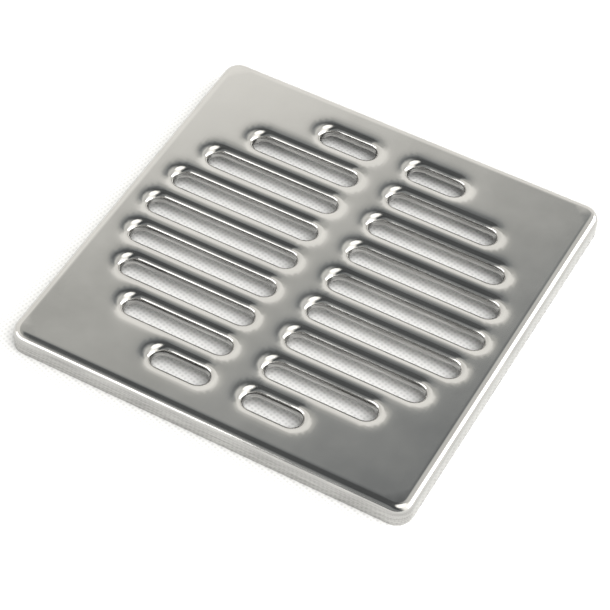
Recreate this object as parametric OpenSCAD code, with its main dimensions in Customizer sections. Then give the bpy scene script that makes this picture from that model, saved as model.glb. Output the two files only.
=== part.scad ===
// Pressed stainless steel floor drain grate.
// A square cover plate is drawn from one sheet. Its edge rolls over into a short skirt, and
// obround slots, each with a drawn collar, fill a circle either side of a centre bridge.
// Four folded lugs, spot-welded under the corners, keep the plate centred in its drain frame.
// Frame: +X runs along the slots, +Z is up, the origin is the middle of the skirt's bottom rim.

/* [Plate] */
// Outer width and depth of the square plate, mm
plate_side = 150; // [146:1:200]
// Overall height from the skirt's bottom rim to the deck, mm
plate_height = 8.8; // [7:0.1:14]
// Thickness of the sheet, mm
sheet_t = 1.2; // [0.8:0.1:1.5]
// Plan radius of the plate's corners, mm
corner_r = 6; // [5:0.5:7]
// Radius of the rolled edge where the deck turns into the skirt, mm
edge_r = 3; // [2:0.25:4]

/* [Slots] */
// Clear width of a slot between its collar walls, mm
slot_w = 7.4; // [5:0.1:7.8]
// Distance between the middles of neighbouring rows, mm
slot_pitch = 14.6; // [14:0.1:14.6]
// Rows on each side of the middle row
rows_each_side = 4; // [1:1:4]
// Radius of the circle that the slots' outer tips lie on, mm
slot_circle_r = 64.8; // [63:0.1:65]
// Width of the solid bridge between the two columns of slots, mm
bridge_w = 14; // [12:0.5:20]
// Radius of a slot's rounded mouth, mm
mouth_r = 2.5; // [2:0.25:3]
// Depth of a collar's cut edge below the deck, mm
collar_depth = 4.4; // [3.5:0.1:5.5]

/* [Locating lugs] */
// Distance from the plate's middle lines to the lugs' outer faces and outer edges, mm
lug_reach = 65; // [64:0.5:66]
// Width of the strip that a lug is folded from, mm
lug_w = 12; // [8:0.5:12]
// Length of a lug's welded flange, mm
lug_flange = 10; // [8:0.5:12]
// Thickness of a lug's strip, mm
lug_t = 1.2; // [0.8:0.1:1.5]
// Outside radius of a lug's fold, mm
lug_fold_r = 2; // [1.6:0.1:2.4]
// Gap between a lug's foot and the plane of the bottom rim, mm
lug_lift = 1; // [0.5:0.25:2]

/* [Hidden] */
$fn = 64;
overcut = 1;
steel = [0.72, 0.73, 0.72];
lug_steel = [0.62, 0.63, 0.64];
half_side = plate_side / 2;
field_half = half_side - corner_r;
deck_under = plate_height - sheet_t;
slot_r = slot_w / 2;
mouth_half = slot_r + mouth_r;

// Distance from the middle to the outer tip of the slots in one row
function outer_tip(row) = sqrt(pow(slot_circle_r, 2) - pow(row * slot_pitch, 2));

// Quarter of a ring or disc, in the corner where both coordinates are positive
module quarter_disc(r) {
    intersection() {
        circle(r = r);
        square(r);
    }
}

// Section of the rolled edge and skirt; x is measured outward from the corner's centre
module edge_section() {
    roll_x = corner_r - edge_r;
    roll_z = plate_height - edge_r;
    translate([0, deck_under]) square([roll_x, sheet_t]);
    translate([roll_x, roll_z]) difference() {
        quarter_disc(edge_r);
        circle(r = edge_r - sheet_t);
    }
    translate([corner_r - sheet_t, 0]) square([sheet_t, roll_z]);
}

// One straight stretch of edge on the +X side
module straight_edge() {
    translate([field_half, field_half, 0]) rotate([90, 0, 0])
        linear_extrude(height = 2 * field_half) edge_section();
}

// The rounded corner between the +X and +Y sides
module corner_edge() {
    translate([field_half, field_half, 0])
        rotate_extrude(angle = 90) edge_section();
}

// Flat outline of a slot that is half_w from its middle line to its side
module obround(inner_x, outer_x, half_w) {
    translate([inner_x, -half_w]) square([outer_x - inner_x, 2 * half_w]);
    translate([inner_x, 0]) circle(r = half_w);
    translate([outer_x, 0]) circle(r = half_w);
}

// Section of what a rounded mouth takes away; x is measured out from the slot's middle line
module mouth_section() {
    difference() {
        translate([0, plate_height - mouth_r]) square([mouth_half, mouth_r + overcut]);
        translate([mouth_half, plate_height - mouth_r]) circle(r = mouth_r);
    }
}

// The space inside one slot: a straight throat with a rounded mouth
module slot_space(inner_x, outer_x) {
    translate([0, 0, -overcut]) linear_extrude(height = plate_height)
        obround(inner_x, outer_x, slot_r);
    translate([outer_x, 0, 0]) rotate([0, 0, -90]) rotate_extrude(angle = 180) mouth_section();
    translate([inner_x, 0, 0]) rotate([0, 0, 90]) rotate_extrude(angle = 180) mouth_section();
    for (side = [0, 1])
        translate([side == 0 ? inner_x : outer_x, 0, 0]) rotate([90, 0, side == 0 ? 90 : -90])
            linear_extrude(height = outer_x - inner_x) mouth_section();
}

// The collar wall hanging under the deck round one slot, still solid
module collar_block(inner_x, outer_x) {
    translate([0, 0, plate_height - collar_depth])
        linear_extrude(height = collar_depth - sheet_t / 2)
            obround(inner_x, outer_x, slot_r + sheet_t);
}

// Places its children at every slot; a row's outer end depends on its place in the circle
module at_each_slot(cut) {
    for (side = [0, 180], row = [-rows_each_side : rows_each_side])
        rotate([0, 0, side]) translate([0, row * slot_pitch, 0]) {
            inner_x = bridge_w / 2 + slot_r;
            outer_x = outer_tip(row) - slot_r;
            if (cut) slot_space(inner_x, outer_x);
            else collar_block(inner_x, outer_x);
        }
}

// The flat middle of the deck with its drawn slots
module slotted_field() {
    difference() {
        union() {
            translate([-field_half, -field_half, deck_under])
                cube([2 * field_half, 2 * field_half, sheet_t]);
            at_each_slot(cut = false);
        }
        at_each_slot(cut = true);
    }
}

module cover_plate() {
    color(steel) union() {
        slotted_field();
        for (side = [0 : 3]) rotate([0, 0, 90 * side]) {
            straight_edge();
            corner_edge();
        }
    }
}

// Section of a lug, folded from strip: x outward along the flange, y is height
module lug_section() {
    fold_x = lug_reach - lug_fold_r;
    fold_z = deck_under - lug_fold_r;
    translate([lug_reach - lug_flange, deck_under - lug_t])
        square([lug_flange - lug_fold_r, lug_t]);
    translate([fold_x, fold_z]) difference() {
        quarter_disc(lug_fold_r);
        circle(r = lug_fold_r - lug_t);
    }
    translate([lug_reach - lug_t, lug_lift]) square([lug_t, fold_z - lug_lift]);
}

// One locating lug; side and depth are -1 or 1 and pick the corner it is welded under
module locating_lug(side, depth) {
    color(lug_steel)
        translate([0, depth * (lug_reach - lug_w / 2), 0])
            rotate([90, 0, side > 0 ? 0 : 180])
                translate([0, 0, -lug_w / 2])
                    linear_extrude(height = lug_w) lug_section();
}

module lug_near_left() { locating_lug(-1, -1); }
module lug_near_right() { locating_lug(1, -1); }
module lug_far_left() { locating_lug(-1, 1); }
module lug_far_right() { locating_lug(1, 1); }

cover_plate();
lug_near_left();
lug_near_right();
lug_far_left();
lug_far_right();
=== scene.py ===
import math

import bmesh
import bpy
from mathutils import Matrix, Vector
from mathutils.geometry import delaunay_2d_cdt


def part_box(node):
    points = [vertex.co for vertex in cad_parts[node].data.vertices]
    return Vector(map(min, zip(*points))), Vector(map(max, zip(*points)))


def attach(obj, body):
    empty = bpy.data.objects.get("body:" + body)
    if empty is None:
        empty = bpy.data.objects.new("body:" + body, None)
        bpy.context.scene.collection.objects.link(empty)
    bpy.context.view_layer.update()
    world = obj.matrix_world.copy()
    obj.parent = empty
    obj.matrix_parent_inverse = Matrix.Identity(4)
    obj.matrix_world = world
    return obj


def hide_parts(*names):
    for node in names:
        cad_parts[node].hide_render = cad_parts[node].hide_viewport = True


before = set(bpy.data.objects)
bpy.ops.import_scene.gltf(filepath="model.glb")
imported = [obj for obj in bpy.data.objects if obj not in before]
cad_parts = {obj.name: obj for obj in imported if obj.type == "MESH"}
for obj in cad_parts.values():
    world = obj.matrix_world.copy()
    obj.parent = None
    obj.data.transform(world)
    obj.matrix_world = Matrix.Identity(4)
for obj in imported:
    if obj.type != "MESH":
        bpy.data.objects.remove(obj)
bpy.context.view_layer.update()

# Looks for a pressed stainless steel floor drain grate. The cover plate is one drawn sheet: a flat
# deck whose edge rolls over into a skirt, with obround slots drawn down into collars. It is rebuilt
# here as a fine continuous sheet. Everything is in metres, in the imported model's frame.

MM = 0.001

# Sheet and slots, as the CAD plate has them
SHEET_T = 1.2 * MM
CORNER_R = 6 * MM
EDGE_R = 3 * MM
SLOT_HALF = 3.7 * MM
SLOT_PITCH = 14.6 * MM
SLOT_ROWS_EACH_SIDE = 4
SLOT_CIRCLE_R = 64.8 * MM
BRIDGE_HALF = 7 * MM
COLLAR_DEPTH = 4.4 * MM

# The drawn mouths: a round of MOUTH_R, and a soft dip that the press leaves around it, which is
# deeper by the share END_DIP where it goes round a slot's end
MOUTH_R = 2.5 * MM
DIP_DEPTH = 0.13 * MM
DIP_REACH = 1.0 * MM
END_DIP = 1.2

# How hard the skirt is drawn, where the collars are 1; this also sets how much painted shade the
# skirt gets
SKIRT_WORKED_AND_SHADE = 0.8

# The cut edges' small bevel, and the angle between faces, in degrees, above which it is made
EDGE_BREAK = 0.18 * MM
BREAK_ABOVE = 50

# Fineness of the mesh: steps round curves and down walls, then lengths along edges and the deck
ROUND_STEPS = 10
END_STEPS = 12
CORNER_STEPS = 10
WALL_STEPS = 3
STRAIGHT_STEP = 2.5 * MM
DECK_STEP = 1.5 * MM
# How near the deck's points may come to a mouth, and how near two points are when they're the same
MOUTH_GAP = 0.4 * DECK_STEP
SAME_POINT = 1e-7

# Steel: its two finishes, as a colour and as the roughness where it is clear and where it is hazy
POLISHED_COLOUR = (0.64, 0.635, 0.62)
POLISHED_ROUGH = (0.10, 0.16)
MILL_COLOUR = (0.55, 0.55, 0.54)
MILL_ROUGH = (0.30, 0.42)
# Scales of its noise patterns, and the values of haze and drag noise between which they act
HAZE_SCALE = 55
RUB_SCALE = 900
RUB_STRETCH = (1, 0.12, 1)
WAVE_SCALE = 18
DRAG_SCALE = 2200
DRAG_STRETCH = (0.03, 0.03, 1)
HAZE_SPAN = (0.3, 0.7)
DRAG_SPAN = (0.35, 0.65)
# Shares of the colour kept where it is clear, and where the sheet is fully drawn, where the
# darkening is painted shade streaked by drag marks
CLEAR_SHADE = 0.90
DRAG_MARKS_AND_PAINTED_SHADE = (0.48, 0.80)
# Roughness added where the sheet is fully drawn, and the span of how hard it is drawn over which it
# comes in
WORKED_ROUGH = 0.08
WORKED_ROUGH_SPAN = (0.6, 1.0)
# Bumps, as strength and height
RUB_BUMP = (0.03, 0.05 * MM)
WAVE_BUMP = (0.18, 0.3 * MM)

# The cloth it lies on: its grid's turn in degrees, the wave texture's scale and waviness, the tones
# between and on the dots, and where a dot reaches its full tone
CLOTH_TURN = 20
CLOTH_SCALE = 210
CLOTH_WAVINESS = 0.6
CLOTH_TONE = (0.78, 0.78, 0.775, 1)
DOT_TONE = (0.63, 0.63, 0.625, 1)
DOT_FULL = 0.8
CLOTH_ROUGH = 0.9
CLOTH_GLOW = 0.05
CLOTH_GLOW_TONE = (1.0, 1.0, 0.99, 1)
FLOOR_HALF = 3.0

# Camera: a long lens above the +X end of the near side. Its angles are in degrees, and its lens and
# sensor in mm.
CAMERA_AZIMUTH = 27.74
CAMERA_ELEVATION = 50.11
CAMERA_ROLL = 1.75
CAMERA_DISTANCE = 802.5 * MM
CAMERA_AIM = (5.8 * MM, -15.6 * MM)
CAMERA_LENS = 140.8
CAMERA_SENSOR = 36
CAMERA_CLIP = 0.01

# Room: brightness by a direction's x, y and z, where a pair is the start and the end of a fade.
# The walls are exp(WALL_LEVEL + WALL_X * x + WALL_Z * z), up to a limit that drops higher up.
WALL_LEVEL = 4.75
WALL_X = -4.0
WALL_Z = -8.6
WALL_LIMIT = 1.15
LIMIT_DROP = 0.57
LIMIT_DROP_Z = (0.69, 0.765)
# In shade: the ceiling over the front, and the low front
CEILING_X = (-0.46, -0.38)
CEILING_Y = (0.34, 0.12)
CEILING_Z = (0.42, 0.60)
LOW_FRONT_X = (-0.36, -0.27)
LOW_FRONT_Y = (0.15, -0.15)
SHADE_STRENGTH = 0.70
DARKEST = 0.11
# Pale: the far right and the right, where a window adds its light
FAR_RIGHT_X = (-0.22, 0.10)
FAR_RIGHT_Y = (0.15, 0.45)
RIGHT_X = (0.10, 0.35)
RIGHT_Y = (-0.75, -0.35)
RIGHT_LEVEL = 0.85
WINDOW_X = (0.50, 0.72)
WINDOW_Y = (-0.60, -0.25)
# The key light's glow, by the cosine of the angle from its direction
KEY_DIRECTION = Vector((0.42, -0.12, 0.90)).normalized()
KEY_GLOW = 2.2
KEY_GLOW_COSINE = (0.87, 0.97)
# The room's colour at three brightnesses
ROOM_TINTS = (
    (0.25, (0.96, 1.0, 1.02, 1)),
    (0.55, (1.0, 1.0, 0.95, 1)),
    (1.0, (1.01, 0.99, 0.945, 1)),
)

plate_low, plate_high = (Vector(corner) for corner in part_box("cover_plate"))
HALF_SIDE = (plate_high.x - plate_low.x) / 2
DECK_Z = plate_high.z


# ---- Shape of the sheet ----

def slot_axes():
    """The middle line of every slot: its row's y, and the x of its two end arcs' centres."""
    axes = []
    for row in range(-SLOT_ROWS_EACH_SIDE, SLOT_ROWS_EACH_SIDE + 1):
        y = row * SLOT_PITCH
        near_x = BRIDGE_HALF + SLOT_HALF
        far_x = math.sqrt(SLOT_CIRCLE_R ** 2 - y ** 2) - SLOT_HALF
        axes.append((y, near_x, far_x))
        axes.append((y, -far_x, -near_x))
    return axes


SLOTS = slot_axes()


def past_ends(x, slot):
    """How far a point lies past a slot's end arc's centre, along the slot, or 0 between them."""
    _, x0, x1 = slot
    return max(x0 - x, x - x1, 0.0)


def wall_distance(x, y, slot):
    """Distance in plan from a point to a slot's wall, positive on the metal."""
    return math.hypot(past_ends(x, slot), y - slot[0]) - SLOT_HALF


def nearest_wall(x, y):
    return min(wall_distance(x, y, slot) for slot in SLOTS)


def end_share(x, y, slot):
    """How far a point lies round a slot's end: 0 beside the straight walls, 1 at the tip."""
    past = past_ends(x, slot)
    return past ** 2 / (past ** 2 + (y - slot[0]) ** 2) if past else 0.0


def dip(x, y):
    """How far the deck is drawn down at a point by all the slots around it."""
    total = 0.0
    for slot in SLOTS:
        outside = wall_distance(x, y, slot) - MOUTH_R
        depth = DIP_DEPTH * (1 + END_DIP * end_share(x, y, slot))
        if outside >= 0:
            total += depth * math.exp(-outside / DIP_REACH)
        else:
            inside = min(-outside, MOUTH_R)
            total += depth * (1 + inside * (1 - inside / (2 * MOUTH_R)) / DIP_REACH)
    return total


def steps_along(length, step):
    return max(1, round(length / step))


def obround_ring(slot, half):
    """Points round a slot at a given distance from its middle line, counter-clockwise."""
    y, x0, x1 = slot
    points = []
    straight = steps_along(x1 - x0, STRAIGHT_STEP)
    for i in range(straight):
        points.append((x0 + (x1 - x0) * i / straight, y - half))
    for i in range(END_STEPS):
        turn = -math.pi / 2 + math.pi * i / END_STEPS
        points.append((x1 + half * math.cos(turn), y + half * math.sin(turn)))
    for i in range(straight):
        points.append((x1 - (x1 - x0) * i / straight, y + half))
    for i in range(END_STEPS):
        turn = math.pi / 2 + math.pi * i / END_STEPS
        points.append((x0 + half * math.cos(turn), y + half * math.sin(turn)))
    return points


def square_ring(out):
    """Points round the plate, `out` metres outside the line where its edge begins to roll."""
    radius = CORNER_R - EDGE_R + out
    centre = HALF_SIDE - CORNER_R
    straight = steps_along(2 * centre, STRAIGHT_STEP)
    side = []
    for i in range(straight):
        side.append((centre + radius, -centre + 2 * centre * i / straight))
    for i in range(CORNER_STEPS):
        turn = math.pi / 2 * i / CORNER_STEPS
        side.append((centre + radius * math.cos(turn), centre + radius * math.sin(turn)))
    points = []
    for quarter in range(4):
        turn = quarter * math.pi / 2
        cos, sin = math.cos(turn), math.sin(turn)
        points += [(x * cos - y * sin, x * sin + y * cos) for x, y in side]
    return points


def add_ring(bm, points, z_of, worked_and_shade):
    """Adds a ring of points, each with how hard the press has drawn the sheet there, 0 to 1, which
    also sets the painted shade there.
    """
    layer = bm.verts.layers.float["worked_and_shade"]
    ring = []
    for x, y in points:
        vertex = bm.verts.new((x, y, z_of(x, y)))
        vertex[layer] = worked_and_shade
        ring.append(vertex)
    return ring


def bridge_rings(bm, rings):
    """Joins each ring to the next with quads; the rings have the same number of points."""
    for ring, following in zip(rings, rings[1:]):
        for i in range(len(ring)):
            j = (i + 1) % len(ring)
            bm.faces.new((following[i], following[j], ring[j], ring[i]))


def draw_slot(bm, slot):
    """Builds one slot's mouth and collar, and returns the ring where they meet the deck."""
    rings = []
    for step in range(ROUND_STEPS + 1):
        turn = math.pi / 2 * (1 - step / ROUND_STEPS)
        half = SLOT_HALF + MOUTH_R * (1 - math.cos(turn))
        drop = MOUTH_R * (1 - math.sin(turn))
        # Each ring down the mouth is drawn harder, so the painted shade deepens into the slot
        rings.append(add_ring(bm, obround_ring(slot, half),
                              lambda x, y: DECK_Z - drop - dip(x, y),
                              worked_and_shade=step / ROUND_STEPS))
    wall_tops = [vertex.co.z for vertex in rings[-1]]
    wall_foot = DECK_Z - COLLAR_DEPTH
    for step in range(1, WALL_STEPS + 1):
        share = step / WALL_STEPS
        ring = add_ring(bm, obround_ring(slot, SLOT_HALF), lambda x, y: wall_foot, worked_and_shade=1.0)
        for vertex, top in zip(ring, wall_tops):
            vertex.co.z = top + (wall_foot - top) * share
        rings.append(ring)
    bridge_rings(bm, rings)
    return rings[0]


def roll_edge(bm):
    """Builds the rolled edge and the skirt, and returns the ring where they meet the deck."""
    rings = []
    for step in range(ROUND_STEPS + 1):
        turn = math.pi / 2 * step / ROUND_STEPS
        drop = EDGE_R * (1 - math.cos(turn))
        # Each ring down the roll is drawn harder, so the painted shade deepens over the edge onto
        # the skirt
        rings.append(add_ring(bm, square_ring(EDGE_R * math.sin(turn)),
                              lambda x, y: DECK_Z - drop - dip(x, y),
                              worked_and_shade=SKIRT_WORKED_AND_SHADE * step / ROUND_STEPS))
    for step in range(1, WALL_STEPS + 1):
        z = (DECK_Z - EDGE_R) * (1 - step / WALL_STEPS)
        rings.append(add_ring(bm, square_ring(EDGE_R), lambda x, y: z, worked_and_shade=SKIRT_WORKED_AND_SHADE))
    bridge_rings(bm, rings)
    return rings[0]


def deck_points():
    """A square grid of points over the deck, clear of its rounded corners and of the slots."""
    reach = HALF_SIDE - EDGE_R - DECK_STEP / 2
    corner_limit = 2 * reach - CORNER_R
    clear_of_wall = MOUTH_R + MOUTH_GAP
    count = steps_along(2 * reach, DECK_STEP)
    lines = [-reach + 2 * reach * i / count for i in range(count + 1)]
    return [(x, y) for x in lines for y in lines
            if abs(x) + abs(y) <= corner_limit and nearest_wall(x, y) > clear_of_wall]


def fill_deck(bm, deck_ring, mouth_rings):
    """Covers the deck between the rolled edge and the slots' mouths with small triangles."""
    verts = []
    edges = []
    for ring in (deck_ring, *mouth_rings):
        start = len(verts)
        verts += ring
        edges += [(start + i, start + (i + 1) % len(ring)) for i in range(len(ring))]
    verts += [bm.verts.new((x, y, DECK_Z - dip(x, y))) for x, y in deck_points()]
    plan = [vertex.co.xy for vertex in verts]
    _, _, triangles, sources, _, _ = delaunay_2d_cdt(plan, edges, [], 0, SAME_POINT)
    for triangle in triangles:
        corners = [verts[sources[k][0]] for k in triangle]
        middle = sum((corner.co for corner in corners), Vector()) / 3
        if nearest_wall(middle.x, middle.y) > MOUTH_R:
            bm.faces.new(corners)


def build_cover():
    """The whole cover plate as one drawn sheet of even thickness."""
    bm = bmesh.new()
    bm.verts.layers.float.new("worked_and_shade")
    deck_ring = roll_edge(bm)
    mouth_rings = [draw_slot(bm, slot) for slot in SLOTS]
    fill_deck(bm, deck_ring, mouth_rings)
    bmesh.ops.recalc_face_normals(bm, faces=bm.faces)
    if max(bm.faces, key=lambda f: f.calc_center_median().z).normal.z < 0:
        bmesh.ops.reverse_faces(bm, faces=bm.faces)
    mesh = bpy.data.meshes.new("drawn_cover_plate")
    bm.to_mesh(mesh)
    bm.free()
    mesh.shade_smooth()
    cover = bpy.data.objects.new("drawn_cover_plate", mesh)
    bpy.context.scene.collection.objects.link(cover)
    thicken = cover.modifiers.new("sheet", "SOLIDIFY")
    thicken.thickness = SHEET_T
    thicken.offset = -1
    thicken.use_even_offset = True
    soften = cover.modifiers.new("cut_edges", "BEVEL")
    soften.width = EDGE_BREAK
    soften.segments = 2
    soften.limit_method = "ANGLE"
    soften.angle_limit = math.radians(BREAK_ABOVE)
    return cover


# ---- Shader nodes ----

class ShaderTree:
    """Adds nodes to a node tree. A value given to one is a number or another node's output."""

    def __init__(self, tree):
        self.nodes = tree.nodes
        self.links = tree.links

    def give(self, socket, value):
        if isinstance(value, bpy.types.NodeSocket):
            self.links.new(value, socket)
        else:
            socket.default_value = value

    def maths(self, operation, *values):
        node = self.nodes.new("ShaderNodeMath")
        node.operation = operation
        for socket, value in zip(node.inputs, values):
            self.give(socket, value)
        return node.outputs["Value"]

    def remap(self, value, span, to_low=0.0, to_high=1.0, interpolation="LINEAR"):
        node = self.nodes.new("ShaderNodeMapRange")
        node.interpolation_type = interpolation
        sockets = ("Value", "From Min", "From Max", "To Min", "To Max")
        for name, given in zip(sockets, (value, *span, to_low, to_high)):
            self.give(node.inputs[name], given)
        return node.outputs["Result"]

    def fade(self, value, span):
        """Rises smoothly from 0 at the span's start to 1 at its end."""
        return self.remap(value, span, interpolation="SMOOTHSTEP")

    def noise(self, coords, scale, detail, stretch=(1, 1, 1)):
        mapping = self.nodes.new("ShaderNodeMapping")
        mapping.inputs["Scale"].default_value = stretch
        noise = self.nodes.new("ShaderNodeTexNoise")
        noise.inputs["Scale"].default_value = scale
        noise.inputs["Detail"].default_value = detail
        self.links.new(coords, mapping.inputs["Vector"])
        self.links.new(mapping.outputs["Vector"], noise.inputs["Vector"])
        return noise.outputs["Fac"]

    def ramp(self, value, stops):
        """Colours along a value; each stop is a position and a colour."""
        node = self.nodes.new("ShaderNodeValToRGB")
        elements = node.color_ramp.elements
        for index, (position, colour) in enumerate(stops):
            element = elements[index] if index < len(elements) else elements.new(position)
            element.position = position
            element.color = colour
        self.links.new(value, node.inputs["Fac"])
        return node.outputs["Color"]

    def bump(self, height, strength, distance):
        node = self.nodes.new("ShaderNodeBump")
        node.inputs["Strength"].default_value = strength
        node.inputs["Distance"].default_value = distance
        self.links.new(height, node.inputs["Height"])
        return node


# ---- Materials ----

def new_material(name):
    material = bpy.data.materials.new(name)
    material.use_nodes = True
    return material, ShaderTree(material.node_tree), material.node_tree.nodes["Principled BSDF"]


def stainless(name, colour, rough):
    """Satin stainless sheet: hazy patches, fine rubbing marks, a barely uneven surface, and painted
    shade streaked by drag marks where it is drawn down.
    """
    material, tree, shader = new_material(name)
    coords = tree.nodes.new("ShaderNodeTexCoord").outputs["Object"]
    haze = tree.noise(coords, HAZE_SCALE, detail=4)
    rubs = tree.noise(coords, RUB_SCALE, detail=3, stretch=RUB_STRETCH)
    waves = tree.noise(coords, WAVE_SCALE, detail=2)
    drags = tree.noise(coords, DRAG_SCALE, detail=2, stretch=DRAG_STRETCH)
    attribute = tree.nodes.new("ShaderNodeAttribute")
    attribute.attribute_name = "worked_and_shade"
    worked_and_shade = attribute.outputs["Fac"]

    clear_colour = [CLEAR_SHADE * c for c in colour]
    clear, hazy = HAZE_SPAN
    tint = tree.ramp(haze, ((clear, (*clear_colour, 1)), (hazy, (*colour, 1))))
    # Painted shade: the colour darkens, in drag-mark streaks, down the slots' mouths and collars
    # and over the skirt
    drag_marks_and_painted_shade = tree.remap(drags, DRAG_SPAN, *DRAG_MARKS_AND_PAINTED_SHADE)
    shade = tree.nodes.new("ShaderNodeVectorMath")
    shade.operation = "SCALE"
    tree.links.new(tint, shade.inputs[0])
    tree.links.new(tree.remap(worked_and_shade, (0.0, 1.0), 1.0, drag_marks_and_painted_shade), shade.inputs["Scale"])
    tree.links.new(shade.outputs["Vector"], shader.inputs["Base Color"])

    patchy = tree.remap(haze, HAZE_SPAN, *rough)
    rougher = tree.remap(worked_and_shade, WORKED_ROUGH_SPAN, 0.0, WORKED_ROUGH)
    tree.links.new(tree.maths("ADD", patchy, rougher), shader.inputs["Roughness"])

    rub_bump = tree.bump(rubs, *RUB_BUMP)
    wave_bump = tree.bump(waves, *WAVE_BUMP)
    tree.links.new(rub_bump.outputs["Normal"], wave_bump.inputs["Normal"])
    tree.links.new(wave_bump.outputs["Normal"], shader.inputs["Normal"])
    shader.inputs["Metallic"].default_value = 1.0
    return material


def white_cloth():
    """White non-woven cloth, pressed with a fine grid of dots."""
    material, tree, shader = new_material("pale_floor")
    turned = tree.nodes.new("ShaderNodeMapping")
    turned.inputs["Rotation"].default_value = (0, 0, math.radians(CLOTH_TURN))
    coords = tree.nodes.new("ShaderNodeTexCoord").outputs["Object"]
    tree.links.new(coords, turned.inputs["Vector"])
    bands = []
    for direction in ("X", "Y"):
        wave = tree.nodes.new("ShaderNodeTexWave")
        wave.wave_type = "BANDS"
        wave.bands_direction = direction
        wave.inputs["Scale"].default_value = CLOTH_SCALE
        wave.inputs["Distortion"].default_value = CLOTH_WAVINESS
        tree.links.new(turned.outputs["Vector"], wave.inputs["Vector"])
        bands.append(wave.outputs["Fac"])
    tone = tree.ramp(tree.maths("MULTIPLY", *bands), ((0.0, CLOTH_TONE), (DOT_FULL, DOT_TONE)))
    tree.links.new(tone, shader.inputs["Base Color"])
    shader.inputs["Roughness"].default_value = CLOTH_ROUGH
    shader.inputs["Emission Color"].default_value = CLOTH_GLOW_TONE
    shader.inputs["Emission Strength"].default_value = CLOTH_GLOW
    return material


# ---- Stage ----

def build_floor():
    h = FLOOR_HALF
    mesh = bpy.data.meshes.new("floor")
    mesh.from_pydata([(-h, -h, 0), (h, -h, 0), (h, h, 0), (-h, h, 0)], [], [(0, 1, 2, 3)])
    floor = bpy.data.objects.new("floor", mesh)
    bpy.context.scene.collection.objects.link(floor)
    floor.data.materials.append(white_cloth())


def build_camera():
    azimuth = math.radians(CAMERA_AZIMUTH)
    elevation = math.radians(CAMERA_ELEVATION)
    roll = math.radians(CAMERA_ROLL)
    back = Vector((math.sin(azimuth) * math.cos(elevation),
                   -math.cos(azimuth) * math.cos(elevation),
                   math.sin(elevation)))
    right = (-back).cross(Vector((0, 0, 1))).normalized()
    up = back.cross(right)
    tilted_right = right * math.cos(roll) + up * math.sin(roll)
    tilted_up = up * math.cos(roll) - right * math.sin(roll)
    place = Matrix((tilted_right, tilted_up, back)).transposed().to_4x4()
    place.translation = Vector((*CAMERA_AIM, DECK_Z)) + back * CAMERA_DISTANCE
    data = bpy.data.cameras.new("camera")
    data.lens = CAMERA_LENS
    data.sensor_width = CAMERA_SENSOR
    data.clip_start = CAMERA_CLIP
    camera = bpy.data.objects.new("camera", data)
    camera.matrix_world = place
    bpy.context.scene.collection.objects.link(camera)
    bpy.context.scene.camera = camera


def walls(tree, x, y, z):
    """Walls that glow low down and at the left, with the ceiling and the low front in shade."""
    slope = tree.maths("ADD", tree.maths("MULTIPLY", x, WALL_X), tree.maths("MULTIPLY", z, WALL_Z))
    glow = tree.maths("EXPONENT", tree.maths("ADD", slope, WALL_LEVEL))
    drop = tree.maths("MULTIPLY", tree.fade(z, LIMIT_DROP_Z), LIMIT_DROP)
    limited = tree.maths("MINIMUM", glow, tree.maths("SUBTRACT", WALL_LIMIT, drop))
    over_front = tree.maths("MULTIPLY", tree.fade(z, CEILING_Z), tree.fade(y, CEILING_Y))
    ceiling = tree.maths("MULTIPLY", over_front, tree.fade(x, CEILING_X))
    low_front = tree.maths("MULTIPLY", tree.fade(y, LOW_FRONT_Y), tree.fade(x, LOW_FRONT_X))
    lost = tree.maths("MULTIPLY", tree.maths("MAXIMUM", ceiling, low_front), SHADE_STRENGTH)
    shaded = tree.maths("MULTIPLY", limited, tree.maths("SUBTRACT", 1.0, lost))
    return tree.maths("MAXIMUM", shaded, DARKEST)


def right_side(tree, x, y):
    """The pale side at the right, with the window's light added to it."""
    far_right = tree.maths("MULTIPLY", tree.fade(x, FAR_RIGHT_X), tree.fade(y, FAR_RIGHT_Y))
    right = tree.maths("MULTIPLY", tree.fade(x, RIGHT_X), tree.fade(y, RIGHT_Y))
    window = tree.maths("MULTIPLY", tree.fade(x, WINDOW_X), tree.fade(y, WINDOW_Y))
    pale = tree.maths("MULTIPLY", tree.maths("MAXIMUM", far_right, right), RIGHT_LEVEL)
    return tree.maths("ADD", pale, window)


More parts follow.
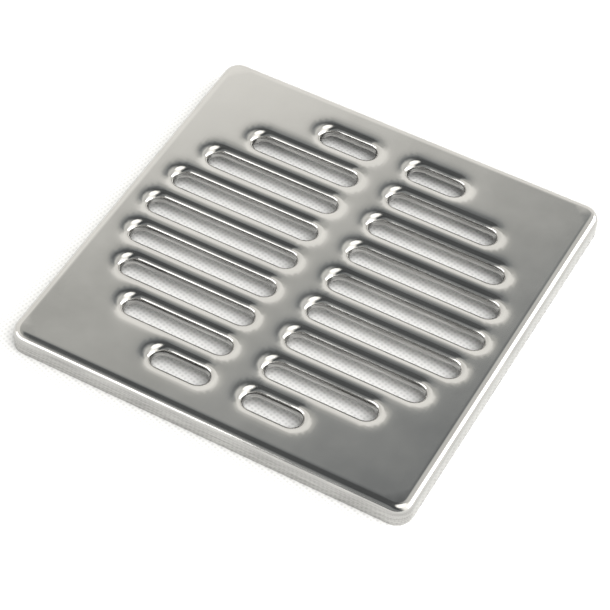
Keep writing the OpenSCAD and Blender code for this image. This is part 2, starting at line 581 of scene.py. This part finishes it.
def key_glow(tree, direction):
    """The soft glow that stands in for the key light in reflections."""
    toward_key = tree.nodes.new("ShaderNodeVectorMath")
    toward_key.operation = "DOT_PRODUCT"
    toward_key.inputs[1].default_value = KEY_DIRECTION
    tree.links.new(direction, toward_key.inputs[0])
    glow = tree.fade(toward_key.outputs["Value"], KEY_GLOW_COSINE)
    return tree.maths("MULTIPLY", glow, KEY_GLOW)


def build_room():
    world = bpy.data.worlds.new("studio")
    world.use_nodes = True
    bpy.context.scene.world = world
    tree = ShaderTree(world.node_tree)
    direction = tree.nodes.new("ShaderNodeTexCoord").outputs["Generated"]
    split = tree.nodes.new("ShaderNodeSeparateXYZ")
    tree.links.new(direction, split.inputs["Vector"])
    x, y, z = split.outputs
    sides = tree.maths("MAXIMUM", walls(tree, x, y, z), right_side(tree, x, y))
    level = tree.maths("MAXIMUM", sides, key_glow(tree, direction))
    background = tree.nodes["Background"]
    tree.links.new(tree.ramp(level, ROOM_TINTS), background.inputs["Color"])
    tree.links.new(level, background.inputs["Strength"])


def add_softbox(name, direction, distance, width, height, power):
    """A soft rectangular light in a given direction from the plate's middle, facing it."""
    data = bpy.data.lights.new(name, "AREA")
    data.shape = "RECTANGLE"
    data.size = width
    data.size_y = height
    data.energy = power
    light = bpy.data.objects.new(name, data)
    light.location = Vector(direction).normalized() * distance
    light.rotation_euler = Vector(direction).to_track_quat("Z", "Y").to_euler()
    bpy.context.scene.collection.objects.link(light)
    return light


def build_lights():
    key = add_softbox("key", KEY_DIRECTION, distance=1.5, width=1.2, height=1.2, power=18)
    # The room's key_glow is what reflects, so that no hard square shows in the polish
    key.visible_glossy = False
    add_softbox("right_window", (0.84, 0.48, 0.25),
                distance=2.0, width=2.6, height=1.06, power=28)
    add_softbox("front_left_card", (-0.69, -0.69, 0.19),
                distance=2.0, width=2.04, height=0.65, power=13)


build_floor()
build_camera()
build_room()
build_lights()

polished = stainless("polished_stainless_look", POLISHED_COLOUR, POLISHED_ROUGH)
mill = stainless("mill_stainless_look", MILL_COLOUR, MILL_ROUGH)

cover = build_cover()
cover.data.materials.append(polished)
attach(cover, "root")
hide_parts("cover_plate")

for name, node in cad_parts.items():
    if name.startswith("lug_"):
        node.data.materials.clear()
        node.data.materials.append(mill)

bpy.context.scene.view_settings.view_transform = "Standard"
